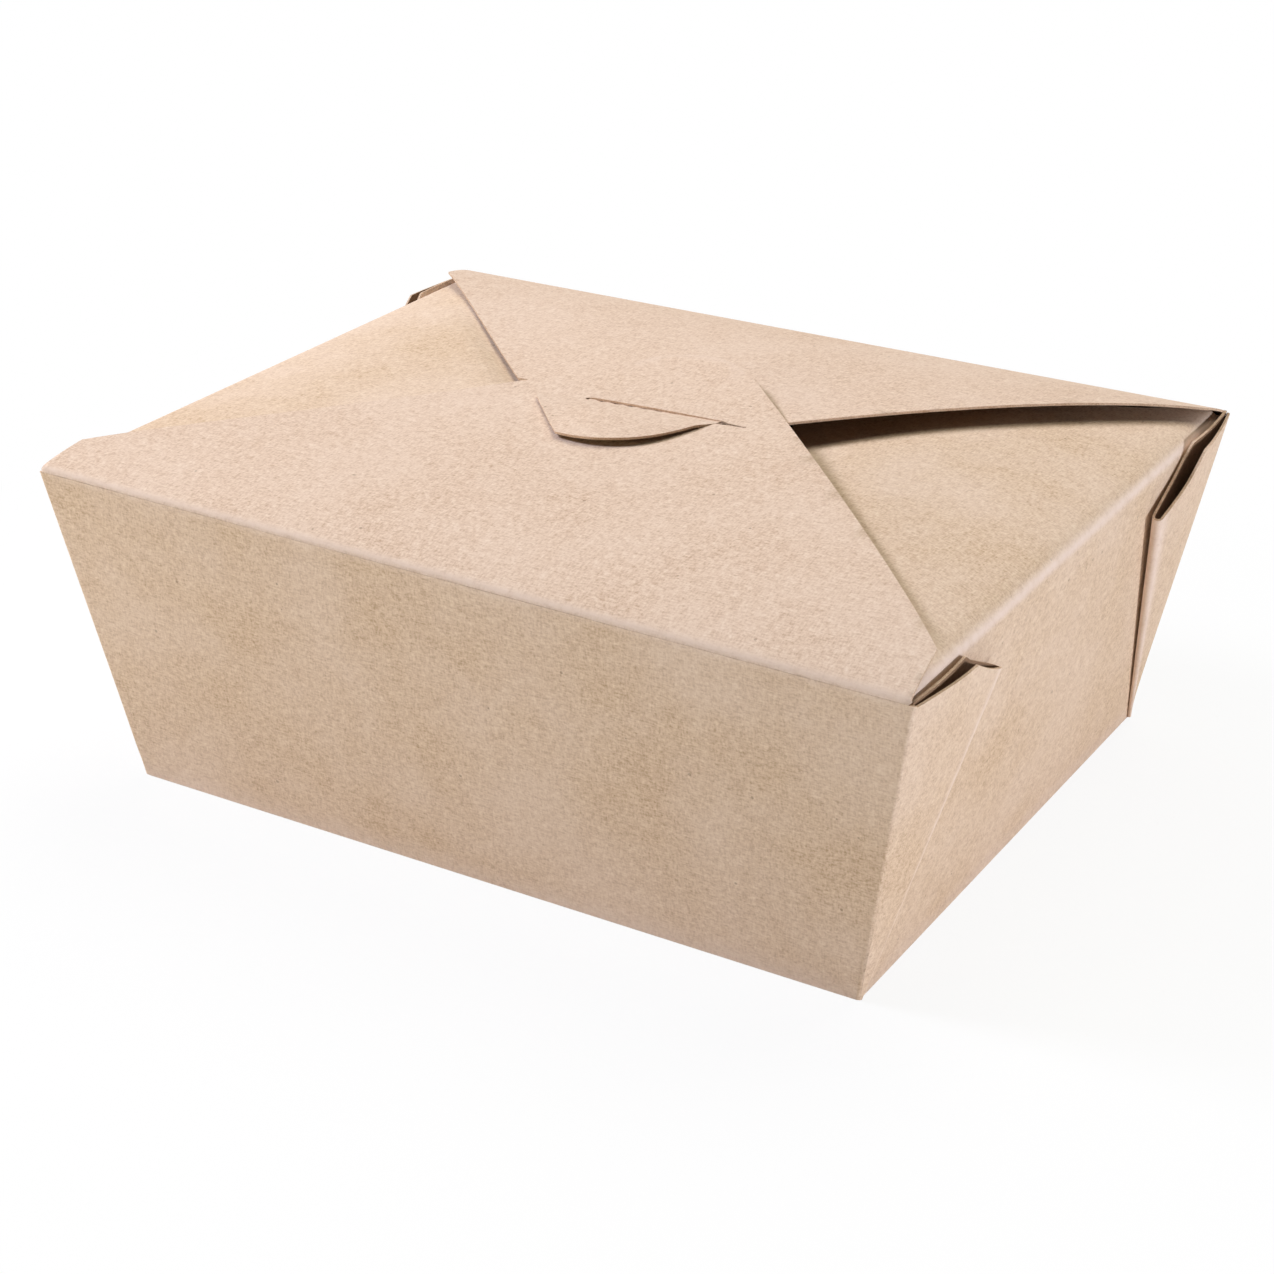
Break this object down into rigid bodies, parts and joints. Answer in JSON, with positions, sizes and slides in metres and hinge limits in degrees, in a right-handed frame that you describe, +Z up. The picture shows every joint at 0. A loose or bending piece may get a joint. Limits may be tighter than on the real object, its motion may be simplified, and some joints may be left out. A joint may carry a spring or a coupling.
{
  "type": "takeaway box",
  "caption": "Folding kraft board takeaway box, closed, with tapered walls, folded corner webs and a domed lid locked by a barbed tongue through a slit.",
  "frame": {"origin": "middle of the base, on the surface that the box stands on", "axes": "+X along the long walls, -Y out of the front wall, +Z up"},
  "size_m": [0.1772, 0.1404, 0.0738],
  "materials": {
    "kraft_tray": "matt kraft board, fine fibres, darker tan on the walls",
    "kraft_lid": "matt kraft board, fine fibres, paler where the creases are rubbed"
  },
  "bodies": {
    "tray": {"tray": "kraft_tray"},
    "front_flap": {"front_flap": "kraft_lid"},
    "back_flap": {"back_flap": "kraft_lid"}
  },
  "joints": [
    {"name": "front_flap_hinge", "type": "hinge", "parent": "tray", "child": "front_flap", "pos_m": [0, -0.06975, 0.063], "axis": [1, 0, 0], "range_deg": [0, 150]},
    {"name": "back_flap_hinge", "type": "hinge", "parent": "tray", "child": "back_flap", "pos_m": [0, 0.06975, 0.063], "axis": [-1, 0, 0], "range_deg": [0, 102]}
  ],
  "couplings": [
    {"joint": "back_flap_hinge", "follows": "front_flap_hinge", "ratio": 0.68}
  ]
}
